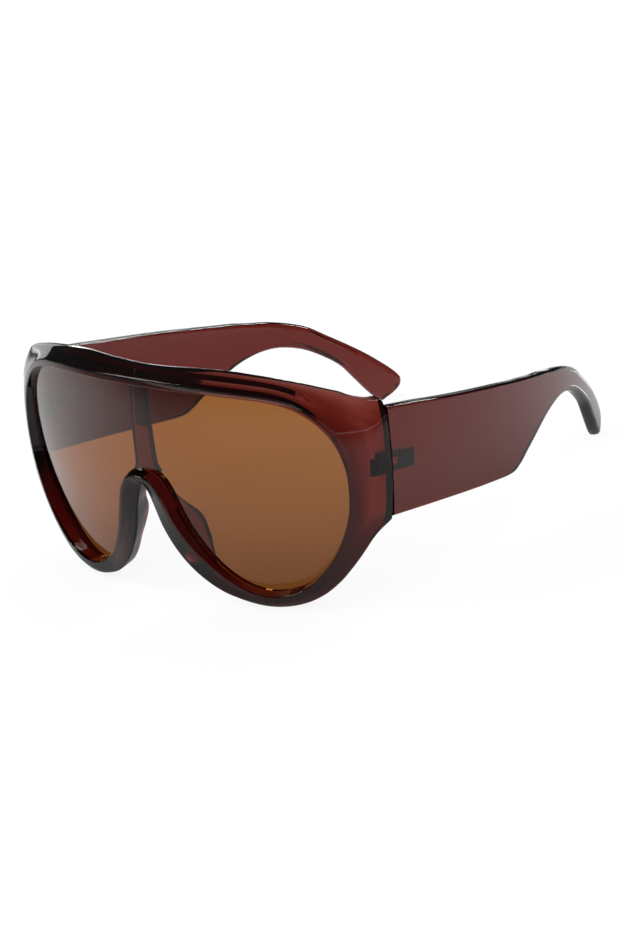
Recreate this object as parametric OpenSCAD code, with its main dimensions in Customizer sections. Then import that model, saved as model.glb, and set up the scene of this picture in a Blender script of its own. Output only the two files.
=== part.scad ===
// Wide shield sunglasses: one front moulding, one curved lens and two broad temples on hinges.
// They stand as on a table: both rims and both temple tips rest on z = 0.
// X runs across the face, the front faces -Y and the temples run back along +Y.

/* [Front] */
// Overall width of the front, measured at the temples
front_width = 148; // [142:1:154]
// Height of the front from the rim bottoms to the top edge of the brow
front_height = 75; // [70:0.5:80]
// Wrap radius of the front, seen from above
wrap_radius = 119; // [112:1:140]
// Radius of the turn from the front into the temples
corner_radius = 15; // [13:0.5:18]
// Radius of the upright curve of the front
upright_radius = 170; // [150:10:260]
// How far the top edge of the brow lies behind its front lip
brow_depth = 5.5; // [4.5:0.1:6]
// Depth of the rims, from the front lip to the back
rim_depth = 7.4; // [7:0.1:8.4]
// Width of the raised lip around the lens
lip_width = 2.6; // [2.2:0.1:3]
// Rounding of the outer edges of the front
edge_round = 1.1; // [0.8:0.1:1.3]

/* [Nose] */
// How far the top of the nose arch stands forward
nose_lift = 1; // [0.5:0.1:1.5]
// How far the nose pads reach back from the front lip
pad_reach = 12.4; // [11.4:0.1:13.4]
// Thickness of a nose pad at its back edge
pad_thickness = 3.4; // [3:0.1:3.8]
// How far a pad moves apart from the other one towards its back edge
pad_splay = 6.3; // [5.5:0.1:7]
// Width of the post behind the lens, between brow and nose arch
post_width = 6.2; // [5:0.1:8]
// Thickness of the post
post_thickness = 2.4; // [2:0.1:3]

/* [Lens] */
// Thickness of the lens
lens_thickness = 1.6; // [1.3:0.1:1.9]
// Depth of the lens behind the lip, at its top edge
lens_set = 1.4; // [1.2:0.1:1.7]
// How much deeper the lens lies at its bottom edge
lens_tilt = 2.9; // [2.4:0.1:3.1]
// Depth of the groove that holds the edge of the lens
groove_depth = 1.2; // [1:0.1:1.4]
// Thickness of the ledge behind the lens
ledge = 1.4; // [1.1:0.1:1.6]
// Free play between lens and groove
lens_play = 0.12; // [0.08:0.01:0.16]

/* [Temples] */
// Horizontal reach of a temple from the seam to its tip
temple_reach = 137; // [130:1:144]
// Thickness of a temple and of the front where they meet
temple_thickness = 4; // [3.8:0.1:4.4]
// How far a temple tip bends in towards the head
temple_bend = 31.5; // [26:0.5:34]
// Rounding of the long edges of a temple, from the seam to the ear
temple_round = 1; // [0.7:0.1:1.3]
// Rounding of the long edges of a temple behind the ear
ear_round = 1.7; // [1.2:0.1:1.8]
// Seam between the front and each temple
seam_gap = 0.35; // [0.25:0.05:0.6]
// Backward lean of the seam
seam_lean = 9.5; // [8:0.1:11]

/* [Hinges] */
// Height of the middle of the hinge above the table
hinge_height = 43.4; // [42:0.1:45]
// Backward lean of the hinge screw
hinge_lean = 4.5; // [3:0.5:6]
// Slope of the hinge plates to the screw, with which they follow the temple
plate_slope = 6.5; // [4:0.5:8]
// Outer radius of the knuckles
knuckle_radius = 1.5; // [1.4:0.05:1.6]
// Height of each of the three knuckles
knuckle_height = 2; // [1.8:0.1:2.4]
// Free play above and below the middle knuckle
knuckle_play = 0.06; // [0.04:0.01:0.1]
// Radius of the hinge screw
screw_radius = 0.7; // [0.6:0.05:0.75]
// Radial running clearance of the screw in the knuckles
screw_play = 0.05; // [0.03:0.01:0.08]
// Radius of the screw head
head_radius = 1.3; // [1.1:0.05:1.4]
// Height of the screw head
head_height = 0.8; // [0.6:0.1:1]
// Thickness of the hinge leaves
leaf_thickness = 1.2; // [1:0.05:1.3]
// Free play between a leaf and its pocket
leaf_play = 0.05; // [0.03:0.01:0.1]
// Height of the plate in the front
front_plate_height = 5.2; // [4.4:0.1:5.6]
// Length of the plate in the front
front_plate_length = 3.8; // [3.2:0.1:5]
// Height of the plate in the temple
temple_plate_height = 5.6; // [4.6:0.1:6]
// Length of the plate in the temple
temple_plate_length = 6.5; // [5.5:0.1:7.5]
// Length of the two arms from the knuckles to the plate in the temple
arm_length = 5.4; // [4.6:0.1:6]

/* [Hidden] */
front_steps = 2;   // stations from one guide station of the front to the next
temple_steps = 3;  // stations from one guide station of a temple to the next
lens_rows = 8;     // strips of the lens from its lower to its upper edge
ear_share = 0.55;  // share of a temple's reach at which the rounding of the ear part sets in
bend_power = 2.85; // how late along its reach a temple bends in
overrun = 2;       // how far a cut reaches past what it cuts
relief = 0.25;     // free play of the knuckles in the notches of front and temple
knuckle_sides = 48;

plastic = [0.24, 0.08, 0.07, 0.9];
tint = [0.45, 0.28, 0.15, 0.6];
metal = [0.55, 0.5, 0.45];

// Plan curve of the front: a wide arc, then a tight corner that ends straight back
half_width = front_width / 2;
wrap_angle = asin((half_width - corner_radius) / (wrap_radius - corner_radius));
wrap_run = wrap_radius * wrap_angle * PI / 180;
full_run = wrap_run + corner_radius * (90 - wrap_angle) * PI / 180;
seam_y = wrap_radius * (1 - cos(wrap_angle)) + corner_radius * cos(wrap_angle);
waist_z = 0.48 * front_height;   // height at which the upright curve stands furthest forward

// Heading of the plan curve at a run along it, and the place there
function heading(s) = s <= wrap_run ? s / wrap_radius * 180 / PI
    : min(90, wrap_angle + (s - wrap_run) / corner_radius * 180 / PI);
function plan_x(s) = s <= wrap_run ? wrap_radius * sin(heading(s))
    : wrap_radius * sin(wrap_angle) + corner_radius * (sin(heading(s)) - sin(wrap_angle));
function plan_y(s) = s <= wrap_run ? wrap_radius * (1 - cos(heading(s)))
    : wrap_radius * (1 - cos(wrap_angle)) + corner_radius * (cos(wrap_angle) - cos(heading(s)))
      + max(0, s - full_run);
// How far the upright curve lies back at a height
function sink(z) = pow(z - waist_z, 2) / (2 * upright_radius);
// A point of the front from its run along the wrap, its height and its rise in front of it
function on_front(s, z, rise) =
    [plan_x(s) - (sink(z) - rise) * sin(heading(s)), plan_y(s) + (sink(z) - rise) * cos(heading(s)), z];
// How far the seam lies behind its middle at a height
function seam_shift(z) = tan(seam_lean) * (z - hinge_height);

// A smooth curve through a list of rows, at the position t in the list
function row_at(list, i) = list[max(0, min(len(list) - 1, i))];
function smooth(list, t) = let (i = min(floor(t), len(list) - 2), u = t - i,
    a = row_at(list, i - 1), b = row_at(list, i), c = row_at(list, i + 1), d = row_at(list, i + 2))
    b + u * (c - a) / 2 + u * u * (a - 2.5 * b + 2 * c - d / 2) + u * u * u * (1.5 * (b - c) + (d - a) / 2);
function refine(list, steps) = [for (i = [0:(len(list) - 1) * steps]) smooth(list, i / steps)];
// Three points that round the corner at p, with legs towards a and towards b
function rounded(a, p, b, r) = let (p1 = p + r * (a - p) / norm(a - p), p2 = p + r * (b - p) / norm(b - p))
    [p1, (p1 + 2 * p + p2) / 4, p2];
// Faces of a body through rings of equal count: open ones are capped, closed ones form a loop
function ring_faces(rings, count, closed) = concat(
    [for (i = [0:rings - (closed ? 1 : 2)]) for (j = [0:count - 1])
        let (a = i * count, b = (i + 1) % rings * count, k = (j + 1) % count)
        for (f = [[a + j, a + k, b + k], [a + j, b + k, b + j]]) f],
    closed ? [] : [[for (j = [count - 1:-1:0]) j], [for (j = [0:count - 1]) (rings - 1) * count + j]]);
module loft(rings, closed = false) {
    polyhedron([for (r = rings) for (p = r) p], ring_faces(len(rings), len(rings[0]), closed), convexity = 10);
}

// Guide stations of the front, from the top of the brow round to the top of the nose arch.
// Each row holds run and height of the lens opening as shares of the full run and the height,
// run and height of the outer edge, lift of the lip, fall of the outer edge as a share of the
// brow's, how far the depth has changed from the rim's to the temple's, how far the pad has
// grown, and the slope of the lip towards the lens as a share of its width.
front_shares = [
    [0.000, 0.936, 0.000, 0.996, 0.0, 1.00, 0.00, 0.00, 0.1],
    [0.092, 0.935, 0.094, 0.998, 0.0, 1.00, 0.00, 0.00, 0.1],
    [0.184, 0.932, 0.188, 1.000, 0.0, 1.00, 0.00, 0.00, 0.1],
    [0.276, 0.929, 0.285, 1.000, 0.0, 1.00, 0.00, 0.00, 0.1],
    [0.372, 0.922, 0.385, 0.995, 0.0, 1.00, 0.00, 0.00, 0.1],
    [0.464, 0.912, 0.481, 0.983, 0.0, 1.00, 0.04, 0.00, 0.1],
    [0.557, 0.897, 0.584, 0.965, 0.0, 0.96, 0.10, 0.00, 0.1],
    [0.635, 0.872, 0.691, 0.941, 0.0, 0.87, 0.18, 0.00, 0.1],
    [0.693, 0.837, 0.804, 0.909, 0.0, 0.72, 0.34, 0.00, 0.1],
    [0.738, 0.795, 0.929, 0.871, 0.0, 0.48, 0.60, 0.00, 0.1],
    [0.773, 0.747, 1.042, 0.834, 0.0, 0.22, 0.86, 0.00, 0.1],
    [0.796, 0.698, 1.121, 0.806, 0.0, 0.05, 1.00, 0.00, 0.1],
    [0.811, 0.643, 1.102, 0.702, 0.0, 0.03, 1.00, 0.00, 0.1],
    [0.819, 0.584, 1.079, 0.618, 0.0, 0.03, 1.00, 0.00, 0.1],
    [0.818, 0.515, 1.052, 0.536, 0.0, 0.03, 1.00, 0.00, 0.1],
    [0.811, 0.446, 1.027, 0.456, 0.0, 0.03, 1.00, 0.00, 0.1],
    [0.798, 0.388, 1.006, 0.384, 0.0, 0.05, 1.00, 0.00, 0.1],
    [0.774, 0.319, 0.912, 0.323, 0.0, 0.08, 0.60, 0.00, 0.1],
    [0.744, 0.256, 0.847, 0.247, 0.0, 0.12, 0.30, 0.00, 0.1],
    [0.708, 0.199, 0.793, 0.177, 0.0, 0.15, 0.12, 0.00, 0.1],
    [0.664, 0.147, 0.737, 0.112, 0.0, 0.18, 0.04, 0.00, 0.1],
    [0.615, 0.104, 0.669, 0.055, 0.0, 0.20, 0.00, 0.00, 0.1],
    [0.561, 0.076, 0.592, 0.017, 0.0, 0.20, 0.00, 0.00, 0.1],
    [0.507, 0.062, 0.510, 0.001, -0.1, 0.20, 0.00, 0.00, 0.1],
    [0.446, 0.058, 0.431, 0.004, -0.5, 0.20, 0.00, 0.00, 0.1],
    [0.382, 0.075, 0.350, 0.024, -1.2, 0.20, 0.00, 0.01, 0.15],
    [0.325, 0.108, 0.268, 0.058, -1.6, 0.20, 0.00, 0.04, 0.2],
    [0.275, 0.155, 0.197, 0.112, -1.5, 0.20, 0.00, 0.10, 0.3],
    [0.232, 0.214, 0.138, 0.179, -1.0, 0.20, 0.00, 0.40, 0.4],
    [0.193, 0.280, 0.093, 0.256, -0.4, 0.20, 0.00, 0.74, 0.5],
    [0.160, 0.350, 0.060, 0.340, 0.2, 0.20, 0.00, 0.92, 0.5],
    [0.134, 0.421, 0.040, 0.421, 0.6, 0.20, 0.00, 0.45, 0.5],
    [0.112, 0.491, 0.024, 0.479, 0.9, 0.20, 0.00, 0.06, 0.5],
    [0.081, 0.548, 0.012, 0.504, 1.0, 0.20, 0.00, 0.01, 0.5],
    [0.041, 0.576, 0.005, 0.515, 1.0, 0.20, 0.00, 0.00, 0.5],
    [0.000, 0.583, 0.000, 0.524, 1.0, 0.20, 0.00, 0.00, 0.5],
];
side_row = 14;   // the guide station at the widest place of the lens
stations = refine(front_shares, front_steps);
function inner_edge(row) = [row[0] * full_run, row[1] * front_height];
function outer_edge(row) = [row[2] * full_run, row[3] * front_height];
function outward(row) = (outer_edge(row) - inner_edge(row)) / norm(outer_edge(row) - inner_edge(row));

// Depth of the front face of the lens behind the lip, at a height
lens_top = front_shares[0][1] * front_height;
function lens_depth(z) = lens_set + lens_tilt * (lens_top - z) / lens_top;
// One cross-section of the front, as points of distance outward from the opening and rise.
// The groove and the ledge come first, measured from the lens, then back, outside and lip.
function groove_section(width) =
    let (wall = groove_depth + lens_play, back = -lens_thickness - lens_play)
    [[0, lens_play], [wall, lens_play], [wall, back], [0, back], [0.15 * ledge, back - ledge],
     [min(wall + 0.6 * ledge, 0.4 * width), back - ledge]];
function between(a, b, share) = a + (b - a) * share;
function shell_section(width, lip, fall, back, pad, slope, start, foot) =
    let (r = min(edge_round, width / 4), splay = pow(pad, 0.3) * pad_splay, deep = back + pad * (pad_reach - back),
         root = max(width - pad_thickness, 0.55 * width), inward = min(splay, 1.6 * (deep - back)),
         crest = slope * lip_width, shoulder = max(crest + r, min(lip_width, width - 1.2 * r)),
         inside = [root - inward, -deep], tip = [max(width - splay, inside[0] + 0.25 * width), -deep],
         edge = [width, -fall], ridge = [shoulder, lip], rim = [crest, lip],
         bend = [0.85 * root - 0.4 * inward, -back], heel = norm(tip - inside),
         band = norm(ridge - edge), r_edge = min(r, 0.4 * band), r_ridge = min(0.4 * r, 0.25 * band),
         r_back = min(r, 0.3 * (deep - fall), 0.4 * heel), r_inside = min(0.25 * heel, 0.6 * norm(inside - bend)))
    concat(
        [for (k = [0.2, 0.5, 0.8]) [start[0] + (bend[0] - start[0]) * k,
            start[1] + (bend[1] - start[1]) * min(1, 2 * k)]],
        [bend],
        rounded(bend, inside, tip, r_inside),
        rounded(inside, tip, edge, r_back),
        rounded(tip, edge, ridge, r_edge),
        [for (k = [0.25, 0.5, 0.75]) between(edge, ridge, between(r_edge, band - r_ridge, k) / band)],
        rounded(edge, ridge, rim, r_ridge),
        rounded(ridge, rim, foot, 0.35 * r));
function front_ring(row) =
    let (a = inner_edge(row), way = outward(row), width = norm(outer_edge(row) - a),
         back = rim_depth + row[6] * (temple_thickness - rim_depth), groove = groove_section(width),
         lens = lens_depth(a[1]), drop = [0, lens],
         shell = shell_section(width, row[4] * nose_lift, row[5] * brow_depth, back, max(0, row[7]), row[8],
                               groove[5] - drop, groove[0] - drop))
    concat(
        [for (p = groove) let (z = a[1] + way[1] * p[0])
            on_front(a[0] + way[0] * p[0], z, p[1] - lens_depth(z))],
        [for (p = shell) on_front(a[0] + way[0] * p[0], a[1] + way[1] * p[0], p[1])]);
front_rings = [for (i = [len(stations) - 1:-1:0]) front_ring(stations[i])];
far_rings = [for (i = [len(front_rings) - 2:-1:1]) [for (p = front_rings[i]) [-p[0], p[1], p[2]]]];

// The post behind the lens, from the brow down into the arch: width and height as shares
post_shares = [[1, 0.965], [1, 0.92], [1.1, 0.8], [1.18, 0.65], [1.22, 0.61], [1.35, 0.585], [1.7, 0.565]];
post_rings = [for (row = refine(post_shares, 2))
    let (w = row[0] * post_width / 2, z = row[1] * front_height, r = 0.2 * post_thickness,
         front = -lens_depth(min(z, lens_top)) - lens_thickness - 2 * lens_play, back = front - post_thickness)
    [for (p = [[-w, front], [w, front], [w, back + r], [w - r, back], [r - w, back], [-w, back + r]])
        on_front(p[0], z, p[1])]];

// Guide stations of a temple, from the seam to the tip: distance behind the seam as a share of
// the reach and height as a share of the front's, at the upper edge and at the lower edge.
temple_shares = [
    [0.000, 0.811, 0.000, 0.371],
    [0.097, 0.774, 0.098, 0.340],
    [0.201, 0.728, 0.211, 0.304],
    [0.322, 0.676, 0.340, 0.263],
    [0.412, 0.637, 0.421, 0.241],
    [0.477, 0.607, 0.457, 0.255],
    [0.522, 0.587, 0.494, 0.288],
    [0.566, 0.567, 0.538, 0.324],
    [0.611, 0.549, 0.581, 0.355],
    [0.650, 0.528, 0.621, 0.375],
    [0.697, 0.506, 0.668, 0.385],
    [0.746, 0.474, 0.718, 0.376],
    [0.797, 0.428, 0.773, 0.338],
    [0.841, 0.364, 0.817, 0.284],
    [0.884, 0.299, 0.860, 0.212],
    [0.923, 0.235, 0.889, 0.132],
    [0.954, 0.176, 0.911, 0.067],
    [0.976, 0.130, 0.926, 0.028],
    [0.989, 0.095, 0.941, 0.000],
    [0.992, 0.060, 0.954, 0.008],
];
// Height shares of the points up each face of a temple
face_shares = [0.2, 0.4, 0.6, 0.8];
function temple_point(share, z) =
    [seam_y + seam_gap + share * temple_reach + seam_shift(z) * pow(1 - share, 2), z];
// The outer face of a temple and its slope inwards, at a point [y, z] of its outline
function along(p) = max(0, (p[0] - seam_y) / temple_reach);
function outer_x(p) = half_width - sink(p[1]) * pow(max(0, 1 - 1.6 * along(p)), 2)
    - temple_bend * pow(along(p), bend_power);
function turn_in(p) = bend_power * temple_bend / temple_reach * pow(along(p), bend_power - 1);
function in_temple(p, depth) = let (b = turn_in(p), n = norm([1, b]))
    [outer_x(p) - depth / n, p[0] - depth * b / n, p[1]];
function temple_ring(row) =
    let (top = temple_point(row[0], row[1] * front_height), low = temple_point(row[2], row[3] * front_height),
         height = norm(top - low), up = (top - low) / height, t = temple_thickness,
         behind = max(0, row[0] - ear_share) / (1 - ear_share),
         r = min(between(temple_round, ear_round, min(1, 2 * behind)), 0.3 * height),
         corners = [[0, 0], [0, height], [t, height], [t, 0]],
         outline = [for (i = [0:3]) let (here = corners[i], next = corners[(i + 1) % 4])
             for (p = concat(rounded(corners[(i + 3) % 4], here, next, r),
                             i % 2 == 0 ? [for (k = face_shares) here + (next - here) * k] : [])) p])
    [for (p = outline) in_temple(low + up * p[1], p[0])];
temple_rings = [for (row = refine(temple_shares, temple_steps)) temple_ring(row)];

// The part stands with its middle on y = 0
front_y = min([for (r = front_rings) for (p = r) p[1]]);
back_y = max([for (r = temple_rings) for (p = r) p[1]]);
centre_y = (front_y + back_y) / 2;

// The hinge has its own frame: Z along the screw, Y back along the temple, X out of the glasses.
// It lies inside of the whole seam, so the temple swings clear of the front.
hinge_x = half_width - temple_thickness - sink(temple_shares[0][1] * front_height);
hinge_y = seam_y + seam_gap / 2;
arm_x = knuckle_radius - leaf_thickness;       // inner face of the arms, flush with the knuckles outside
plate_x = knuckle_radius - leaf_thickness / 2; // inner face of the plates, half sunk into the plastic
stack_height = 3 * knuckle_height + 2 * knuckle_play;
outer_knuckle = knuckle_height / 2 + knuckle_play;
plate_start = knuckle_radius + leaf_play;
notch_reach = knuckle_radius + leaf_thickness;
// Middle heights of the two plates above the middle of the hinge
front_plate_rise = (front_plate_height - stack_height) / 2 + 0.2 * knuckle_height;
temple_plate_rise = (stack_height - temple_plate_height) / 2 - 0.2 * knuckle_height;

module placed() {
    translate([0, -centre_y, 0]) children();
}
module at_hinge() {
    translate([hinge_x, hinge_y, hinge_height]) rotate([-hinge_lean, 0, 0]) children();
}
module both_sides() {
    children();
    mirror([1, 0, 0]) children();
}
// A box between two opposite corners
module box(low, high) {
    translate(low) cube(high - low);
}
// A plate that slopes away from its end at the hinge; with play, it is the pocket for the plate
module plate(start, length, rise, height, play, open) {
    translate([0, start, rise]) rotate([-plate_slope, 0, 0])
        box([plate_x - play - open, min(0, length) - play, -height / 2 - play],
            [plate_x + leaf_thickness + play, max(0, length) + play, height / 2 + play]);
}
module front_plate(play = 0) {
    plate(-plate_start, -front_plate_length, front_plate_rise, front_plate_height, play, 0);
}
module temple_plate(play = 0, open = 0) {
    plate(arm_length, temple_plate_length, temple_plate_rise, temple_plate_height, play, open);
}
// Room for the knuckles and for the screw head, between two distances from the hinge
module knuckle_notch(low_y, high_y) {
    box([-knuckle_radius - overrun, low_y, -stack_height / 2 - relief],
        [knuckle_radius + relief, high_y, stack_height / 2 + head_height + relief]);
}
// The two arms of the temple leaf, from the outer knuckles to the plate
module arms(play = 0, open = 0) {
    for (side = [-1, 1], middle = side * (outer_knuckle + knuckle_height / 2))
        box([arm_x - play - open, 0, middle - knuckle_height / 2 - play],
            [knuckle_radius + play, arm_length + leaf_thickness, middle + knuckle_height / 2 + play]);
}

module front_frame() {
    color(plastic) difference() {
        union() {
            loft(concat(front_rings, far_rings), closed = true);
            loft(post_rings);
        }
        translate([0, seam_y, hinge_height]) rotate([-seam_lean, 0, 0])
            box([-front_width, 0, -front_height], [front_width, front_height, front_height]);
        both_sides() at_hinge() {
            knuckle_notch(-notch_reach, overrun);
            front_plate(leaf_play);
        }
    }
}

module shield_lens() {
    edge = [for (row = stations) inner_edge(row) + groove_depth * outward(row)];
    upper = [for (i = [0:side_row * front_steps]) edge[i]];
    right_columns = [for (i = [side_row * front_steps:len(edge) - 1])
        [edge[i][0], edge[i][1], lookup(edge[i][0], upper)]];
    columns = concat([for (c = right_columns) [-c[0], c[1], c[2]]],
                     [for (i = [len(right_columns) - 2:-1:0]) right_columns[i]]);
    heights = [for (k = [0:lens_rows]) k / lens_rows];
    rings = [for (c = columns) let (low = c[1], rise = max(c[2] - c[1], 0.02 * ledge))
        concat([for (k = heights) on_lens(c[0], low + k * rise, 0)],
               [for (i = [lens_rows:-1:0]) on_lens(c[0], low + heights[i] * rise, lens_thickness)])];
    color(tint) loft(rings);
}
// A point of the lens at a depth behind its front face, on either side of the middle
function on_lens(s, z, depth) = let (p = on_front(abs(s), z, -lens_depth(z) - depth)) [sign(s) * p[0], p[1], p[2]];

module temple() {
    color(plastic) difference() {
        loft(temple_rings);
        at_hinge() {
            knuckle_notch(-overrun, notch_reach);
            temple_plate(leaf_play, overrun);
            arms(leaf_play, overrun);
        }
    }
}

module knuckle() {
    cylinder(r = knuckle_radius, h = knuckle_height, center = true, $fn = knuckle_sides);
}
module screw_bore() {
    cylinder(r = screw_radius + screw_play, h = stack_height + 2 * overrun, center = true, $fn = knuckle_sides);
}
module front_hinge_leaf() {
    color(metal) at_hinge() difference() {
        union() {
            knuckle();
            front_plate();
            box([arm_x, -notch_reach, -knuckle_height / 2], [knuckle_radius, 0, knuckle_height / 2]);
        }
        screw_bore();
    }
}
module temple_hinge_leaf() {
    color(metal) at_hinge() difference() {
        union() {
            for (side = [-1, 1])
                translate([0, 0, side * (outer_knuckle + knuckle_height / 2)]) knuckle();
            arms();
            temple_plate();
        }
        screw_bore();
    }
}
module hinge_screw() {
    color(metal) at_hinge() difference() {
        union() {
            translate([0, 0, -stack_height / 2])
                cylinder(r = screw_radius, h = stack_height + head_height / 2, $fn = knuckle_sides);
            translate([0, 0, stack_height / 2])
                cylinder(r = head_radius, h = head_height, $fn = knuckle_sides);
        }
        box([-head_radius - overrun, -0.2 * head_radius, stack_height / 2 + 0.5 * head_height],
            [head_radius + overrun, 0.2 * head_radius, stack_height / 2 + head_height + overrun]);
    }
}

placed() front_frame();
placed() shield_lens();
placed() temple();  // temple_left
placed() mirror([1, 0, 0]) temple();  // temple_right
placed() front_hinge_leaf();  // front_hinge_leaf_left
placed() mirror([1, 0, 0]) front_hinge_leaf();  // front_hinge_leaf_right
placed() temple_hinge_leaf();  // temple_hinge_leaf_left
placed() mirror([1, 0, 0]) temple_hinge_leaf();  // temple_hinge_leaf_right
placed() hinge_screw();  // hinge_screw_left
placed() mirror([1, 0, 0]) hinge_screw();  // hinge_screw_right
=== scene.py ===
# %% [markdown]
# # Shield sunglasses in clear brown plastic
# The real thing is one wide front moulding that holds one curved lens, with two broad temples on
# small metal hinges. The construction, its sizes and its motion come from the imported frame. This
# script makes the looks: fine meshes of the polished plastic and of the lens, their finishes,
# the soft light and the camera.

# %% Load the frame
import math

import bmesh
import bpy
import numpy as np
from mathutils import Matrix, Vector


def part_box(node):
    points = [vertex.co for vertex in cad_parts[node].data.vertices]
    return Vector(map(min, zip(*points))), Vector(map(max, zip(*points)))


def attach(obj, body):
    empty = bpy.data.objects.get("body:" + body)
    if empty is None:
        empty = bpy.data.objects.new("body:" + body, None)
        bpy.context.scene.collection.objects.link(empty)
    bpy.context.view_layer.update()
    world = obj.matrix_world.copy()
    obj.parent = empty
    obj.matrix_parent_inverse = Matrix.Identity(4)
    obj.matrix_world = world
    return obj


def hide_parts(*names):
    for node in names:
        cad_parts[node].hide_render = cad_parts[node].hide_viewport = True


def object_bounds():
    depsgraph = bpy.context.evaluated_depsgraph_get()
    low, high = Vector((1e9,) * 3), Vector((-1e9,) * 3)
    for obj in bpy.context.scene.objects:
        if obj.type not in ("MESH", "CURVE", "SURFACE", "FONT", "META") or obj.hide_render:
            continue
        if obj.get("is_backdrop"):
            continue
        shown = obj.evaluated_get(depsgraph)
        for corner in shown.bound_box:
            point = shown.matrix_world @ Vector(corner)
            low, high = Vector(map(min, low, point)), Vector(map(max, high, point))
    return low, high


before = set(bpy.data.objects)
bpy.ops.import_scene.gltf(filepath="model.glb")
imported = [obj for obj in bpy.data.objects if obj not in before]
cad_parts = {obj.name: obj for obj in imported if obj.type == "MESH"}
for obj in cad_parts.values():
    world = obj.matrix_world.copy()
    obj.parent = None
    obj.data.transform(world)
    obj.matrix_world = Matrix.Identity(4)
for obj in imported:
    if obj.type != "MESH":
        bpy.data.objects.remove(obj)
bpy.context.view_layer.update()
MM = 0.001  # the shapes below are thought out in millimetres, and the scene is in metres

# %% [markdown]
# The front of such glasses is bent like a strip of card: a wide arc across the face, a tight
# corner at each side, and then straight back into the temples. It could be modelled by pushing
# vertices about, but polished plastic shows every uneven spot as a wobble in its reflections.
# So the bend is a formula, and everything on the front is placed by how far it lies along the
# bend (its run), its height, and how far it stands out from the bent surface (its rise).

# %% The bend of the front
FRONT_WIDTH = 148.0
FRONT_HEIGHT = 75.0
WRAP_RADIUS = 119.0  # of the arc across the face, seen from above
CORNER_RADIUS = 15.0  # of the turn at each side, into the temple
UPRIGHT_RADIUS = 170.0  # of the upright curve, seen from the side
WAIST_HEIGHT = 0.48 * FRONT_HEIGHT  # where the upright curve stands furthest forward

half_width = FRONT_WIDTH / 2
wrap_angle = math.asin((half_width - CORNER_RADIUS) / (WRAP_RADIUS - CORNER_RADIUS))
wrap_run = WRAP_RADIUS * wrap_angle
full_run = wrap_run + CORNER_RADIUS * (math.pi / 2 - wrap_angle)
seam_back = WRAP_RADIUS * (1 - math.cos(wrap_angle)) + CORNER_RADIUS * math.cos(wrap_angle)


def heading(run):
    """Direction of the bend at a run, from 0 across the face to a quarter turn at the temples."""
    corner = np.minimum(math.pi / 2, wrap_angle + (run - wrap_run) / CORNER_RADIUS)
    return np.where(run <= wrap_run, run / WRAP_RADIUS, corner)


def on_bend(run):
    """Place of the bend, seen from above."""
    turn = heading(run)
    wide = WRAP_RADIUS * np.sin(turn), WRAP_RADIUS * (1 - np.cos(turn))
    tight = (
        WRAP_RADIUS * math.sin(wrap_angle) + CORNER_RADIUS * (np.sin(turn) - math.sin(wrap_angle)),
        WRAP_RADIUS * (1 - math.cos(wrap_angle))
        + CORNER_RADIUS * (math.cos(wrap_angle) - np.cos(turn))
        + np.maximum(0, run - full_run),
    )
    return np.where(run <= wrap_run, wide, tight)


def sink(height):
    """How far the upright curve lies behind its foremost height."""
    return (height - WAIST_HEIGHT) ** 2 / (2 * UPRIGHT_RADIUS)


def on_front(run, height, rise):
    """Points of the front in millimetres, from run, height and rise."""
    x, y = on_bend(run)
    inwards = sink(height) - rise
    return np.stack([x - inwards * np.sin(heading(run)), y + inwards * np.cos(heading(run)), height], -1)


print(f"the bend runs {full_run:.1f} mm from the middle to the seam, {seam_back:.1f} mm back")

# %% [markdown]
# An outline drawn with few guide points keeps its curves clean. A spline through the guide rows
# gives as many stations as a smooth reflection needs. Corners of a cross-section are rounded
# with short Bezier arcs, because a moulded edge is never sharp and catches the light in a line.

# %% Smooth rows and rounded corners
CORNER_POINTS = 5  # points on each rounded corner of a cross-section


def refine(rows, steps):
    """Stations on a Catmull-Rom curve through guide rows, with so many steps from row to row."""
    rows = np.array(rows, float)
    last = len(rows) - 1
    made = []
    for k in range(last * steps + 1):
        i = min(k // steps, last - 1)
        u = k / steps - i
        a, b, c, d = (rows[max(0, min(last, n))] for n in (i - 1, i, i + 1, i + 2))
        bend = a - 2.5 * b + 2 * c - d / 2
        made.append(b + u * (c - a) / 2 + u * u * bend + u**3 * (1.5 * (b - c) + (d - a) / 2))
    return np.array(made)


def rounded(before, corner, after, leg):
    """Points of a rounded corner, with legs of that length towards its neighbours."""
    start = corner + leg * (before - corner) / np.linalg.norm(before - corner)
    end = corner + leg * (after - corner) / np.linalg.norm(after - corner)
    shares = np.linspace(0, 1, CORNER_POINTS)
    return [(1 - t) ** 2 * start + 2 * t * (1 - t) * corner + t * t * end for t in shares]


# %% [markdown]
# A skin is made of rings of points, and each ring is joined to the next by a band of faces. The
# faces have to look outward. The render takes the side that they look to for air and the other
# side for plastic, and bends the light by that.

# %% Skins from rings


def loft(name, rings, closed):
    """A mesh object through rings of equal count, in millimetres: capped, or closed to a loop."""
    rings = np.array(rings)
    count = rings.shape[1]
    mesh = bpy.data.meshes.new(name)
    faces = []
    for i in range(len(rings) if closed else len(rings) - 1):
        a, b = i * count, (i + 1) % len(rings) * count
        for j in range(count):
            k = (j + 1) % count
            faces.append((a + j, a + k, b + k, b + j))
    if not closed:
        faces.append(tuple(reversed(range(count))))
        faces.append(tuple((len(rings) - 1) * count + j for j in range(count)))
    mesh.from_pydata((rings.reshape(-1, 3) * MM).tolist(), [], faces)
    made = bpy.data.objects.new(name, mesh)
    bpy.context.scene.collection.objects.link(made)
    with_faces_out(made)
    return made


def with_faces_out(made):
    """Turns the faces outward, which glass needs to know its inside from its outside."""
    work = bmesh.new()
    work.from_mesh(made.data)
    bmesh.ops.recalc_face_normals(work, faces=work.faces)
    if work.calc_volume(signed=True) < 0:
        bmesh.ops.reverse_faces(work, faces=work.faces)
    work.to_mesh(made.data)
    work.free()


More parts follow.
